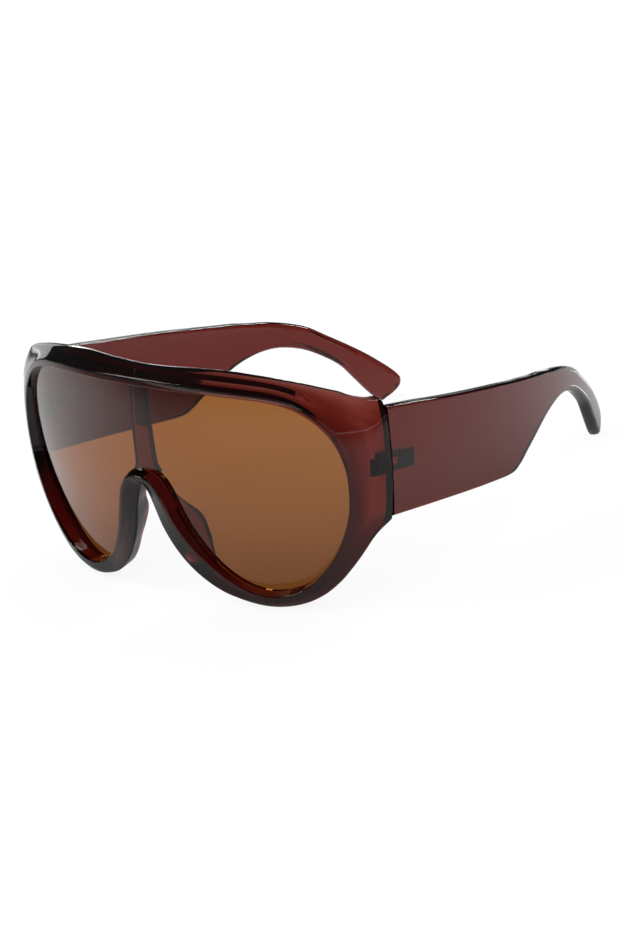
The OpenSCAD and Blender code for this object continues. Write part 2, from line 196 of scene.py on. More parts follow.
# %% [markdown]
# One closed loop of cross-sections makes the whole front: brow, rims, endpieces and nose arch
# in one skin, as it comes out of the mould. Each guide row says where the lens opening and the
# outer edge lie, and how the section changes there: the brow slopes far back above its lip, the
# endpieces thin down to the temples, and beside the nose the section grows back into the pads.

# %% Sizes and guide rows of the front
BROW_DEPTH = 5.5  # how far the top edge of the brow lies behind its lip
RIM_DEPTH = 7.4  # from the lip to the back
LIP_WIDTH = 2.6  # of the raised lip round the lens
EDGE_ROUND = 1.1
NOSE_LIFT = 1.0  # how far the top of the nose arch stands forward
PAD_REACH = 12.4  # how far the nose pads reach back from the lip
PAD_THICKNESS = 3.4
PAD_SPLAY = 6.3  # how far a pad moves apart from the other one towards its back edge
LENS_THICKNESS = 1.6
LENS_SET = 1.4  # depth of the lens behind the lip, at its top edge
LENS_TILT = 2.9  # how much deeper it lies at its bottom edge
GROOVE_DEPTH = 1.2
LEDGE = 1.4  # thickness of the ledge behind the lens
LENS_PLAY = 0.12
TEMPLE_THICKNESS = 4.0

# Each row holds run and height of the lens opening as shares of the full run and the height,
# run and height of the outer edge, lift of the lip, fall of the outer edge as a share of the
# brow's, how far the depth has changed from the rim's to the temple's, how far the pad has
# grown, and the slope of the lip towards the lens as a share of its width.
FRONT_SHARES = [
    [0.000, 0.936, 0.000, 0.996, 0.0, 1.00, 0.00, 0.00, 0.1],
    [0.092, 0.935, 0.094, 0.998, 0.0, 1.00, 0.00, 0.00, 0.1],
    [0.184, 0.932, 0.188, 1.000, 0.0, 1.00, 0.00, 0.00, 0.1],
    [0.276, 0.929, 0.285, 1.000, 0.0, 1.00, 0.00, 0.00, 0.1],
    [0.372, 0.922, 0.385, 0.995, 0.0, 1.00, 0.00, 0.00, 0.1],
    [0.464, 0.912, 0.481, 0.983, 0.0, 1.00, 0.04, 0.00, 0.1],
    [0.557, 0.897, 0.584, 0.965, 0.0, 0.96, 0.10, 0.00, 0.1],
    [0.635, 0.872, 0.691, 0.941, 0.0, 0.87, 0.18, 0.00, 0.1],
    [0.693, 0.837, 0.804, 0.909, 0.0, 0.72, 0.34, 0.00, 0.1],
    [0.738, 0.795, 0.929, 0.871, 0.0, 0.48, 0.60, 0.00, 0.1],
    [0.773, 0.747, 1.042, 0.834, 0.0, 0.22, 0.86, 0.00, 0.1],
    [0.796, 0.698, 1.121, 0.806, 0.0, 0.05, 1.00, 0.00, 0.1],
    [0.811, 0.643, 1.102, 0.702, 0.0, 0.03, 1.00, 0.00, 0.1],
    [0.819, 0.584, 1.079, 0.618, 0.0, 0.03, 1.00, 0.00, 0.1],
    [0.818, 0.515, 1.052, 0.536, 0.0, 0.03, 1.00, 0.00, 0.1],
    [0.811, 0.446, 1.027, 0.456, 0.0, 0.03, 1.00, 0.00, 0.1],
    [0.798, 0.388, 1.006, 0.384, 0.0, 0.05, 1.00, 0.00, 0.1],
    [0.774, 0.319, 0.912, 0.323, 0.0, 0.08, 0.60, 0.00, 0.1],
    [0.744, 0.256, 0.847, 0.247, 0.0, 0.12, 0.30, 0.00, 0.1],
    [0.708, 0.199, 0.793, 0.177, 0.0, 0.15, 0.12, 0.00, 0.1],
    [0.664, 0.147, 0.737, 0.112, 0.0, 0.18, 0.04, 0.00, 0.1],
    [0.615, 0.104, 0.669, 0.055, 0.0, 0.20, 0.00, 0.00, 0.1],
    [0.561, 0.076, 0.592, 0.017, 0.0, 0.20, 0.00, 0.00, 0.1],
    [0.507, 0.062, 0.510, 0.001, -0.1, 0.20, 0.00, 0.00, 0.1],
    [0.446, 0.058, 0.431, 0.004, -0.5, 0.20, 0.00, 0.00, 0.1],
    [0.382, 0.075, 0.350, 0.024, -1.2, 0.20, 0.00, 0.01, 0.15],
    [0.325, 0.108, 0.268, 0.058, -1.6, 0.20, 0.00, 0.04, 0.2],
    [0.275, 0.155, 0.197, 0.112, -1.5, 0.20, 0.00, 0.10, 0.3],
    [0.232, 0.214, 0.138, 0.179, -1.0, 0.20, 0.00, 0.40, 0.4],
    [0.193, 0.280, 0.093, 0.256, -0.4, 0.20, 0.00, 0.74, 0.5],
    [0.160, 0.350, 0.060, 0.340, 0.2, 0.20, 0.00, 0.92, 0.5],
    [0.134, 0.421, 0.040, 0.421, 0.6, 0.20, 0.00, 0.45, 0.5],
    [0.112, 0.491, 0.024, 0.479, 0.9, 0.20, 0.00, 0.06, 0.5],
    [0.081, 0.548, 0.012, 0.504, 1.0, 0.20, 0.00, 0.01, 0.5],
    [0.041, 0.576, 0.005, 0.515, 1.0, 0.20, 0.00, 0.00, 0.5],
    [0.000, 0.583, 0.000, 0.524, 1.0, 0.20, 0.00, 0.00, 0.5],
]
lens_top = FRONT_SHARES[0][1] * FRONT_HEIGHT
print(len(FRONT_SHARES), "guide rows, from the top of the brow round to the top of the nose arch")

# %% [markdown]
# A cross-section has two parts. Groove and ledge go with the lens, which lies deeper towards its
# foot. The shell round them is the back, the outside and the lip. Its corners are placed first,
# and then rounded, and no rounding takes more than a share of the faces beside it, so the
# section also holds where it is narrow.

# %% Groove of a cross-section
LEDGE_BEVEL = 0.15  # how far outward the ledge's inner edge slopes, in thicknesses of the ledge
LEDGE_REACH = 0.6  # how far the ledge's back goes out past the groove, in its thicknesses
LEDGE_LIMIT = 0.4  # and at most, in widths of the section


def lens_depth(height):
    """How deep the front face of the lens lies behind the lip."""
    return LENS_SET + LENS_TILT * (lens_top - height) / lens_top


def groove_section(width):
    """Groove and ledge of a section as [distance outward, rise above the lens]."""
    wall = GROOVE_DEPTH + LENS_PLAY
    back = -LENS_THICKNESS - LENS_PLAY
    ledge = back - LEDGE
    foot = min(wall + LEDGE_REACH * LEDGE, LEDGE_LIMIT * width)
    groove = [[0, LENS_PLAY], [wall, LENS_PLAY], [wall, back], [0, back]]
    return groove + [[LEDGE_BEVEL * LEDGE, ledge], [foot, ledge]]


# %% Shell of a cross-section
PAD_EASE = 0.3  # the power that makes a pad splay early in its growth
PAD_LEAN = 1.6  # the most that a pad leans inward, in times of what it adds to the depth
ROOT_LIMIT = 0.55  # the least distance outward of the back's inner corner, in widths
HEEL_LIMIT = 0.25  # the least width of the back, in widths of the section
BEND_OUT = 0.85  # where the back begins, in distances outward of its inner corner
BEND_LEAN = 0.4  # and how far inward that place moves with a pad, in leans of the pad
SHOULDER_ROOM = 1.2  # what the lip leaves of the width, in roundings of the edge
EDGE_LIMIT = 0.25  # the largest rounding of the edge, in widths of the section
RIDGE_ROUND = 0.4  # rounding of the lip's outer ridge, in roundings of the edge
RIM_ROUND = 0.35  # rounding of the lip's inner rim, in roundings of the edge
BAND_LIMITS = 0.4, 0.25  # what edge and ridge may take of the band between them
BACK_LIMITS = 0.3, 0.4  # what the outer corner may take of the side and of the back
INSIDE_LIMITS = 0.25, 0.6  # what the inner corner may take of the faces after and before it
# Points from the ledge to where the back begins, as shares outward and backward
TO_BACK = np.array([[0.2, 0.4], [0.5, 1], [0.8, 1]])
ON_BAND = 0.25, 0.5, 0.75  # points on the band from the edge up to the ridge


def shell_section(width, lip, fall, back, pad, slope, start, foot):
    """Back, outside and lip of a section as [distance outward, rise]."""
    soft = min(EDGE_ROUND, EDGE_LIMIT * width)
    splay = pad**PAD_EASE * PAD_SPLAY
    deep = back + pad * (PAD_REACH - back)
    root = max(width - PAD_THICKNESS, ROOT_LIMIT * width)
    inward = min(splay, PAD_LEAN * (deep - back))
    crest = slope * LIP_WIDTH
    shoulder = max(crest + soft, min(LIP_WIDTH, width - SHOULDER_ROOM * soft))
    bend = np.array([BEND_OUT * root - BEND_LEAN * inward, -back])
    inside = np.array([root - inward, -deep])
    tip = np.array([max(width - splay, inside[0] + HEEL_LIMIT * width), -deep])
    edge = np.array([width, -fall])
    ridge = np.array([shoulder, lip])
    rim = np.array([crest, lip])
    heel = np.linalg.norm(tip - inside)
    band = np.linalg.norm(ridge - edge)
    soft_edge = min(soft, BAND_LIMITS[0] * band)
    soft_ridge = min(RIDGE_ROUND * soft, BAND_LIMITS[1] * band)
    soft_back = min(soft, BACK_LIMITS[0] * (deep - fall), BACK_LIMITS[1] * heel)
    soft_inside = min(INSIDE_LIMITS[0] * heel, INSIDE_LIMITS[1] * np.linalg.norm(inside - bend))
    flat_band = band - soft_ridge - soft_edge
    return (
        list(start + (bend - start) * TO_BACK)
        + [bend]
        + rounded(bend, inside, tip, soft_inside)
        + rounded(inside, tip, edge, soft_back)
        + rounded(tip, edge, ridge, soft_edge)
        + [edge + (ridge - edge) * (soft_edge + flat_band * k) / band for k in ON_BAND]
        + rounded(edge, ridge, rim, soft_ridge)
        + rounded(ridge, rim, foot, RIM_ROUND * soft)
    )


# %% Rings of the front


def front_ring(row):
    """One cross-section of the front, as points in millimetres."""
    inner = row[0:2] * [full_run, FRONT_HEIGHT]
    outer = row[2:4] * [full_run, FRONT_HEIGHT]
    lift, fall, thinning, pad, slope = row[4:]
    width = np.linalg.norm(outer - inner)
    way = (outer - inner) / width
    back = RIM_DEPTH + thinning * (TEMPLE_THICKNESS - RIM_DEPTH)
    groove = np.array(groove_section(width))
    drop = np.array([0, lens_depth(inner[1])])
    start, foot = groove[-1] - drop, groove[0] - drop
    lip = lift * NOSE_LIFT
    shell = np.array(
        shell_section(width, lip, fall * BROW_DEPTH, back, max(0, pad), slope, start, foot)
    )
    heights = inner[1] + way[1] * groove[:, 0]
    held = on_front(inner[0] + way[0] * groove[:, 0], heights, groove[:, 1] - lens_depth(heights))
    skin = on_front(inner[0] + way[0] * shell[:, 0], inner[1] + way[1] * shell[:, 0], shell[:, 1])
    return np.concatenate([held, skin])


# %% [markdown]
# A temple is as high as the endpiece where they meet, narrows towards the ear and droops behind
# it. Its outline in side view is a list of guide rows as well. They come before the hinge,
# because the hinge lies inside of the whole seam, and the seam ends at the first of them.

# %% Guide rows of the temples
# Each row holds the distance behind the seam as a share of the reach and the height as a share
# of the front's, at the upper edge and at the lower edge.
TEMPLE_SHARES = [
    [0.000, 0.811, 0.000, 0.371],
    [0.097, 0.774, 0.098, 0.340],
    [0.201, 0.728, 0.211, 0.304],
    [0.322, 0.676, 0.340, 0.263],
    [0.412, 0.637, 0.421, 0.241],
    [0.477, 0.607, 0.457, 0.255],
    [0.522, 0.587, 0.494, 0.288],
    [0.566, 0.567, 0.538, 0.324],
    [0.611, 0.549, 0.581, 0.355],
    [0.650, 0.528, 0.621, 0.375],
    [0.697, 0.506, 0.668, 0.385],
    [0.746, 0.474, 0.718, 0.376],
    [0.797, 0.428, 0.773, 0.338],
    [0.841, 0.364, 0.817, 0.284],
    [0.884, 0.299, 0.860, 0.212],
    [0.923, 0.235, 0.889, 0.132],
    [0.954, 0.176, 0.911, 0.067],
    [0.976, 0.130, 0.926, 0.028],
    [0.989, 0.095, 0.941, 0.000],
    [0.991, 0.076, 0.948, 0.006],
    [0.988, 0.058, 0.957, 0.013],
    [0.980, 0.044, 0.967, 0.027],
]
print(len(TEMPLE_SHARES), "guide rows, from the seam to the tip")

# %% [markdown]
# The front is cut from its loop where the temples meet it, and it has pockets for the hinges.
# Boolean cuts do this as the mould does, and the pockets have to be there, because the metal
# shows through the clear plastic. The hinge has its own frame, leaning back with the seam.

# %% Hinge frame
SEAM_GAP = 0.35
SEAM_LEAN = math.radians(9.5)  # backward
HINGE_LEAN = math.radians(4.5)  # of the screw, backward
PLATE_SLOPE = math.radians(6.5)  # the plates slope this much more than the screw leans
HINGE_HEIGHT = 43.4  # of the middle of the hinge above the table
KNUCKLE_RADIUS = 1.5
KNUCKLE_HEIGHT = 2.0  # of each of the three knuckles
KNUCKLE_PLAY = 0.06  # above and below the middle knuckle
HEAD_HEIGHT = 0.8  # of the head of the screw
LEAF_THICKNESS = 1.2
LEAF_PLAY = 0.05  # between a leaf and its pocket
FRONT_PLATE = Vector((LEAF_THICKNESS, 3.8, 5.2))  # thickness, length and height
TEMPLE_PLATE = Vector((LEAF_THICKNESS, 6.5, 5.6))
PLATE_STEP = 0.2  # how far inside of the knuckles' stack a plate ends, in knuckle heights
ARM_LENGTH = 5.4  # from the knuckles to the plate in the temple

hinge_x = half_width - TEMPLE_THICKNESS - sink(TEMPLE_SHARES[0][1] * FRONT_HEIGHT)
hinge_y = seam_back + SEAM_GAP / 2
stack_height = 3 * KNUCKLE_HEIGHT + 2 * KNUCKLE_PLAY
outer_knuckle = KNUCKLE_HEIGHT / 2 + KNUCKLE_PLAY  # where it begins, from the middle
plate_start = KNUCKLE_RADIUS + LEAF_PLAY
plate_x = KNUCKLE_RADIUS - LEAF_THICKNESS / 2  # inner face of the plates
front_rise = (FRONT_PLATE.z - stack_height) / 2 + PLATE_STEP * KNUCKLE_HEIGHT
temple_rise = (stack_height - TEMPLE_PLATE.z) / 2 - PLATE_STEP * KNUCKLE_HEIGHT


def in_hinge_frame(side):
    """From the hinge's own frame to the scene's, on either side, in millimetres."""
    place = Matrix.Translation((hinge_x, hinge_y, HINGE_HEIGHT)) @ Matrix.Rotation(-HINGE_LEAN, 4, "X")
    return Matrix.Diagonal((side, 1, 1, 1)) @ place


print(f"hinge at x {hinge_x:.2f}, y {hinge_y:.2f}, z {HINGE_HEIGHT:.2f} mm before the part is centred")

# %% Cuts
RELIEF = 0.25  # free play of the knuckles in the notches of front and temple
OVERRUN = 2.0  # how far a cut reaches past what it cuts
TO_METRES = Matrix.Diagonal((MM, MM, MM, 1))

notch_reach = KNUCKLE_RADIUS + LEAF_THICKNESS


def box(low, high):
    """A box between two corners, in millimetres, as a mesh object."""
    mesh = bpy.data.meshes.new("cutter")
    work = bmesh.new()
    bmesh.ops.create_cube(work, size=1)
    low, high = Vector(low), Vector(high)
    size = Matrix.Diagonal((*(high - low), 1))
    bmesh.ops.transform(work, matrix=Matrix.Translation((low + high) / 2) @ size, verts=work.verts)
    work.to_mesh(mesh)
    work.free()
    made = bpy.data.objects.new("cutter", mesh)
    bpy.context.scene.collection.objects.link(made)
    return made


def cut(piece, cutters, operation="DIFFERENCE"):
    """Cuts meshes out of a piece, or joins them to it, for good, and removes them."""
    for cutter in cutters:
        modifier = piece.modifiers.new("cut", "BOOLEAN")
        modifier.operation = operation
        modifier.solver = "EXACT"
        modifier.object = cutter
    bpy.context.view_layer.update()
    final = bpy.data.meshes.new_from_object(piece.evaluated_get(bpy.context.evaluated_depsgraph_get()))
    piece.modifiers.clear()
    piece.data = final
    for cutter in cutters:
        bpy.data.objects.remove(cutter)


def placed(cutter, place):
    """Moves a cutter to its place, given in millimetres."""
    cutter.data.transform(place)
    cutter.data.transform(TO_METRES)
    with_faces_out(cutter)
    return cutter


def hinge_box(low, high, side):
    """A cutter given in the hinge's own frame."""
    return placed(box(low, high), in_hinge_frame(side))


def notch(nearest, furthest, side):
    """The notch for the knuckles, from one distance behind the screw to another."""
    return hinge_box(
        (-KNUCKLE_RADIUS - OVERRUN, nearest, -stack_height / 2 - RELIEF),
        (KNUCKLE_RADIUS + RELIEF, furthest, stack_height / 2 + HEAD_HEIGHT + RELIEF),
        side,
    )


def plate_pocket(start, length, plate, rise, opening, side):
    """The pocket of a hinge plate, which runs from start by length and slopes about its start."""
    made = box(
        (plate_x - LEAF_PLAY - opening, min(0, length) - LEAF_PLAY, -plate.z / 2 - LEAF_PLAY),
        (plate_x + plate.x + LEAF_PLAY, max(0, length) + LEAF_PLAY, plate.z / 2 + LEAF_PLAY),
    )
    slope = Matrix.Translation((0, start, rise)) @ Matrix.Rotation(-PLATE_SLOPE, 4, "X")
    return placed(made, in_hinge_frame(side) @ slope)


# %% [markdown]
# Behind the lens a post joins the brow to the nose arch. It follows the back of the lens at a
# small distance and widens into the arch.

# %% Post behind the lens
POST_WIDTH = 6.2
POST_THICKNESS = 2.4
POST_BEVEL = 0.2  # of its rear edges, in thicknesses
POST_STEPS = 3  # stations from one guide row to the next
# Each row holds the width and the height as shares of the post's width and the front's height.
POST_SHARES = [[1, 0.965], [1, 0.92], [1.1, 0.8], [1.18, 0.65], [1.22, 0.61], [1.35, 0.585], [1.7, 0.565]]


def on_side(run, height, rise):
    """A point of the front on either side of its middle."""
    point = on_front(abs(run), height, rise)
    return point * [math.copysign(1, run), 1, 1]


def post_ring(row):
    """One section of the post."""
    wide, height = row[0] * POST_WIDTH / 2, row[1] * FRONT_HEIGHT
    front = -lens_depth(min(height, lens_top)) - LENS_THICKNESS - 2 * LENS_PLAY
    back, soft = front - POST_THICKNESS, POST_BEVEL * POST_THICKNESS
    near_side = [(-wide, front), (wide, front), (wide, back + soft)]
    far_side = [(wide - soft, back), (soft - wide, back), (-wide, back + soft)]
    return np.array([on_side(run, height, rise) for run, rise in near_side + far_side])


post = loft("post", [post_ring(row) for row in refine(POST_SHARES, POST_STEPS)], closed=False)
print("post:", len(post.data.polygons), "faces")

# %% [markdown]
# The front moulding is the loop of its rings, mirrored across the face and joined with the
# post. Then the seams and hinge pockets are cut. The cuts come before any smoothing, so the
# polished faces beside them stay true.

# %% Front moulding
FRONT_STEPS = 6  # stations from one guide row to the next

stations = refine(FRONT_SHARES, FRONT_STEPS)
half_rings = np.array([front_ring(row) for row in stations[::-1]])
far_rings = half_rings[-2:0:-1] * [-1, 1, 1]
front = loft("front_moulding", np.concatenate([half_rings, far_rings]), closed=True)
cut(front, [post], "UNION")

beyond = box((-FRONT_WIDTH, 0, -FRONT_HEIGHT), (FRONT_WIDTH, FRONT_HEIGHT, FRONT_HEIGHT))
lean = Matrix.Translation((0, seam_back, HINGE_HEIGHT)) @ Matrix.Rotation(-SEAM_LEAN, 4, "X")
beyond.data.transform(TO_METRES @ lean)
front_cuts = [beyond]
for side in (1, -1):
    front_cuts.append(notch(-notch_reach, OVERRUN, side))
    front_cuts.append(plate_pocket(-plate_start, -FRONT_PLATE.y, FRONT_PLATE, front_rise, 0, side))
cut(front, front_cuts)
print("front moulding:", len(front.data.polygons), "faces")

# %% [markdown]
# The lens is one sheet that follows the bend, held all round in the groove. It is lofted in
# upright strips from edge to edge, a little larger than the opening, so it sits in its groove.

# %% Lens
LENS_STRIPS = 24  # from its lower to its upper edge
SIDE_ROW = 14  # the guide row at the widest place of the lens
LEAST_HEIGHT = 0.02 * LEDGE  # of the lens at its ends, where its edges would meet in a point

edge = stations[:, 0:2] * [full_run, FRONT_HEIGHT]
outer = stations[:, 2:4] * [full_run, FRONT_HEIGHT]
ways = (outer - edge) / np.linalg.norm(outer - edge, axis=1)[:, None]
edge = edge + GROOVE_DEPTH * ways
side_station = SIDE_ROW * FRONT_STEPS
upper, lower = edge[: side_station + 1], edge[side_station:]
columns = [(run, low, float(np.interp(run, upper[:, 0], upper[:, 1]))) for run, low in lower]
columns = [(-run, low, top) for run, low, top in columns] + columns[-2::-1]
shares = np.linspace(0, 1, LENS_STRIPS + 1)
lens_rings = []
for run, low, top in columns:
    heights = low + shares * max(top - low, LEAST_HEIGHT)
    face = [on_side(run, height, -lens_depth(height)) for height in heights]
    back = [on_side(run, height, -lens_depth(height) - LENS_THICKNESS) for height in heights[::-1]]
    lens_rings.append(face + back)
lens = loft("lens_sheet", lens_rings, closed=False)
print("lens:", len(lens.data.polygons), "faces")

# %% [markdown]
# A temple is a flat bar that bends in towards the head behind the ear. Its outline in side view
# comes from guide rows, and its section is a bar with rounded long edges.

# %% Sections of a temple
TEMPLE_REACH = 137.0  # from the seam to the tip, seen from above
TEMPLE_BEND = 31.5  # how far the tip bends in towards the head
BEND_POWER = 2.85  # how late along its reach a temple bends in
TEMPLE_ROUND = 1.0
EAR_ROUND = 1.7
EAR_SHARE = 0.55  # from here back the temple is the ear part, with rounder edges
EAR_GROWTH = 2  # the rounding grows this many times faster than the ear part goes on
ROUND_LIMIT = 0.3  # the largest rounding, in heights of the temple
SEAM_ALONG = 1.6  # the upright curve of the front fades out along a temple this many times faster
SIDE_POINTS = 0.2, 0.4, 0.6, 0.8  # points up each face, as shares of its height


def temple_point(share, height):
    """A point of a temple's outline in side view, as [distance back, height]."""
    shift = math.tan(SEAM_LEAN) * (height - HINGE_HEIGHT) * (1 - share) ** 2
    return np.array([seam_back + SEAM_GAP + share * TEMPLE_REACH + shift, height])


def in_temple(point, depth):
    """A point of a temple at a depth behind its outer face."""
    share = max(0.0, (point[0] - seam_back) / TEMPLE_REACH)
    upright = max(0.0, 1 - SEAM_ALONG * share) ** 2
    outer_face = half_width - sink(point[1]) * upright - TEMPLE_BEND * share**BEND_POWER
    slope = BEND_POWER * TEMPLE_BEND / TEMPLE_REACH * share ** (BEND_POWER - 1)
    length = math.hypot(1, slope)
    return [outer_face - depth / length, point[0] - depth * slope / length, point[1]]


def temple_ring(row):
    """One section of a temple."""
    top = temple_point(row[0], row[1] * FRONT_HEIGHT)
    low = temple_point(row[2], row[3] * FRONT_HEIGHT)
    height = np.linalg.norm(top - low)
    up = (top - low) / height
    behind = max(0, row[0] - EAR_SHARE) / (1 - EAR_SHARE)
    grown = TEMPLE_ROUND + (EAR_ROUND - TEMPLE_ROUND) * min(1, EAR_GROWTH * behind)
    soft = min(grown, ROUND_LIMIT * height)
    thick = TEMPLE_THICKNESS
    corners = np.array([[0, 0], [0, height], [thick, height], [thick, 0]])
    outline = []
    for i in range(4):
        here, following = corners[i], corners[(i + 1) % 4]
        outline += rounded(corners[i - 1], here, following, soft)
        if i % 2 == 0:
            outline += [here + (following - here) * k for k in SIDE_POINTS]
    return [in_temple(low + up * p[1], p[0]) for p in outline]


# %% Temples
TEMPLE_STEPS = 8  # stations from one guide row to the next


def arm_pocket(level, side):
    """The pocket of one of the two arms of a temple's leaf, above (1) or below (-1) the middle."""
    middle = level * (outer_knuckle + KNUCKLE_HEIGHT / 2)
    bottom = middle - KNUCKLE_HEIGHT / 2 - LEAF_PLAY
    ceiling = middle + KNUCKLE_HEIGHT / 2 + LEAF_PLAY
    return hinge_box(
        (KNUCKLE_RADIUS - LEAF_THICKNESS - LEAF_PLAY - OVERRUN, 0, bottom),
        (KNUCKLE_RADIUS + LEAF_PLAY, ARM_LENGTH + LEAF_THICKNESS, ceiling),
        side,
    )


temple_rings = np.array([temple_ring(row) for row in refine(TEMPLE_SHARES, TEMPLE_STEPS)])
temples = {}
for name, side in (("left", 1), ("right", -1)):
    made = loft("temple_bar_" + name, temple_rings * [side, 1, 1], closed=False)
    pockets = [
        notch(-OVERRUN, notch_reach, side),
        plate_pocket(ARM_LENGTH, TEMPLE_PLATE.y, TEMPLE_PLATE, temple_rise, OVERRUN, side),
        arm_pocket(-1, side),
        arm_pocket(1, side),
    ]
    cut(made, pockets)
    temples[name] = made
print("each temple:", len(temples["left"].data.polygons), "faces")

# %% [markdown]
# The pieces were made with the front at y = 0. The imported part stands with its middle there,
# so they all move back by one measured distance, and then ride on their bodies.

# %% Into the frame
own_front = min(v.co.y for v in front.data.vertices)
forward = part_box("front_frame")[0].y - own_front
for piece in [front, lens, *temples.values()]:
    piece.data.transform(Matrix.Translation((0, forward, 0)))
print(f"moved by {forward / MM:.2f} mm")

SHARP = math.radians(62)  # a crease that turns further than this stays sharp


def polish(piece):
    """Smooth shading that keeps flat faces flat and real creases sharp."""
    piece.data.polygons.foreach_set("use_smooth", [True] * len(piece.data.polygons))
    piece.data.set_sharp_from_angle(angle=SHARP)
    weighted = piece.modifiers.new("even normals", "WEIGHTED_NORMAL")
    weighted.keep_sharp = True


for piece, body, node, slot in (
    (front, "front", "front_frame", "brown_plastic"),
    (lens, "front", "shield_lens", "lens_tint"),
    (temples["left"], "left_temple", "temple_left", "brown_plastic"),
    (temples["right"], "right_temple", "temple_right", "brown_plastic"),
):
    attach(piece, body)
    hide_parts(node)
    polish(piece)

# %% [markdown]
# Handling leaves the same traces on plastic, lens and metal: faint smears that dull the gloss
# in patches, and a slow waviness from the mould or the press. One node group makes both, and
# each material uses it at its own strength.

# %% Handling marks
PATCH_DETAIL = 4
WAVE_DETAIL = 1
PATCH_EDGES = 0.42, 0.72  # noise values between which the gloss goes over to the dull patches


def new_nodes(tree, *kinds):
    """New nodes of several kinds in a node tree."""
    return [tree.nodes.new("ShaderNode" + kind) for kind in kinds]


def handling_marks():
    """A node group with the traces of handling: a roughness and a height over the surface."""
    group = bpy.data.node_groups.new("handling marks", "ShaderNodeTree")
    for name, default in (
        ("Patches per Metre", 60.0),
        ("Waves per Metre", 25.0),
        ("Gloss", 0.03),
        ("Dull", 0.08),
    ):
        made = group.interface.new_socket(name=name, in_out="INPUT", socket_type="NodeSocketFloat")
        made.default_value = default
    for name in ("Roughness", "Height"):
        group.interface.new_socket(name=name, in_out="OUTPUT", socket_type="NodeSocketFloat")
    given, result = group.nodes.new("NodeGroupInput"), group.nodes.new("NodeGroupOutput")
    place, patches, waves, spread = new_nodes(group, "TexCoord", "TexNoise", "TexNoise", "MapRange")
    patches.inputs["Detail"].default_value = PATCH_DETAIL
    waves.inputs["Detail"].default_value = WAVE_DETAIL
    spread.inputs["From Min"].default_value = PATCH_EDGES[0]
    spread.inputs["From Max"].default_value = PATCH_EDGES[1]
    group.links.new(place.outputs["Object"], patches.inputs["Vector"])
    group.links.new(place.outputs["Object"], waves.inputs["Vector"])
    group.links.new(given.outputs["Patches per Metre"], patches.inputs["Scale"])
    group.links.new(given.outputs["Waves per Metre"], waves.inputs["Scale"])
    group.links.new(patches.outputs["Fac"], spread.inputs["Value"])
    group.links.new(given.outputs["Gloss"], spread.inputs["To Min"])
    group.links.new(given.outputs["Dull"], spread.inputs["To Max"])
    group.links.new(spread.outputs["Result"], result.inputs["Roughness"])
    group.links.new(waves.outputs["Fac"], result.inputs["Height"])
    return group


MARKS = handling_marks()


def marked(material, gloss, dull, patches, waves, wave_height):
    """Puts the handling marks into a material's roughness and, as a bump, into its normal."""
    tree = material.node_tree
    shader = tree.nodes["Principled BSDF"]
    marks, bump = new_nodes(tree, "Group", "Bump")
    marks.node_tree = MARKS
    marks.inputs["Gloss"].default_value = gloss
    marks.inputs["Dull"].default_value = dull
    marks.inputs["Patches per Metre"].default_value = patches
    marks.inputs["Waves per Metre"].default_value = waves
    bump.inputs["Strength"].default_value = 1
    bump.inputs["Distance"].default_value = wave_height * MM
    tree.links.new(marks.outputs["Roughness"], shader.inputs["Roughness"])
    tree.links.new(marks.outputs["Height"], bump.inputs["Height"])
    tree.links.new(bump.outputs["Normal"], shader.inputs["Normal"])


# %% [markdown]
# Clear brown plastic has no colour on its surface. Light goes in, loses its green and blue on
# the way and comes out brown, which is why thin places are lighter and edges nearly black.
# So the surface is clear glass-like plastic, and the colour is an absorption inside it.

# %% Clear plastic and lens
PLASTIC_IOR = 1.57
PLASTIC_LOSS = 0.49, 1.03, 1.13  # of red, green and blue light, per millimetre
LENS_IOR = 1.58
LENS_LOSS = 0.71, 1.3, 2.12
DENSITY_ROOM = 1.02  # keeps the absorption colour a little above black


def clear_material(name, ior, loss):
    """A clear material that takes away so much red, green and blue light in each millimetre."""
    material = bpy.data.materials.new(name)
    material.use_nodes = True
    tree = material.node_tree
    shader = tree.nodes["Principled BSDF"]
    shader.inputs["Base Color"].default_value = (1, 1, 1, 1)
    shader.inputs["Transmission Weight"].default_value = 1
    shader.inputs["IOR"].default_value = ior
    (inside,) = new_nodes(tree, "VolumeAbsorption")
    most = max(loss) * DENSITY_ROOM
    inside.inputs["Color"].default_value = (*(1 - share / most for share in loss), 1)
    inside.inputs["Density"].default_value = most / MM
    tree.links.new(inside.outputs["Volume"], tree.nodes["Material Output"].inputs["Volume"])
    return material


def dress(piece, material):
    """Gives a piece its material."""
    piece.data.materials.clear()
    piece.data.materials.append(material)


brown_plastic = clear_material("clear brown plastic", PLASTIC_IOR, PLASTIC_LOSS)
marked(brown_plastic, gloss=0.0, dull=0.05, patches=45, waves=30, wave_height=0.004)
for piece in (front, *temples.values()):
    dress(piece, brown_plastic)

brown_lens = clear_material("brown lens", LENS_IOR, LENS_LOSS)
marked(brown_lens, gloss=0.0, dull=0.03, patches=30, waves=12, wave_height=0.004)
dress(lens, brown_lens)
print("clear materials:", brown_plastic.name, "and", brown_lens.name)

# %% [markdown]
# The lens looks a little darker near its foot. A volume that grows denser there could darken
# it, but a volume that changes from place to place is slow and noisy to render. So a faint red
# that fades out upward goes into the base colour, with which clear plastic tints what passes
# through its surface.

# %% Darker at the foot of the lens
# the colour that darkens the lens at its foot and fades out upward
LENS_FOOT = (0.95, 0.9, 0.9, 1)
DARK_FOOT_HEIGHT = 0.45 * FRONT_HEIGHT * MM  # where the darkening at the foot has faded out


def fade(tree, value, low, high, at_low, at_high):
    """A value that goes from one level to another between two limits, smoothly."""
    (made,) = new_nodes(tree, "MapRange")
    made.interpolation_type = "SMOOTHSTEP"
    for socket, number in (("From Min", low), ("From Max", high), ("To Min", at_low), ("To Max", at_high)):
        made.inputs[socket].default_value = number
    tree.links.new(value, made.inputs["Value"])
    return made.outputs["Result"]


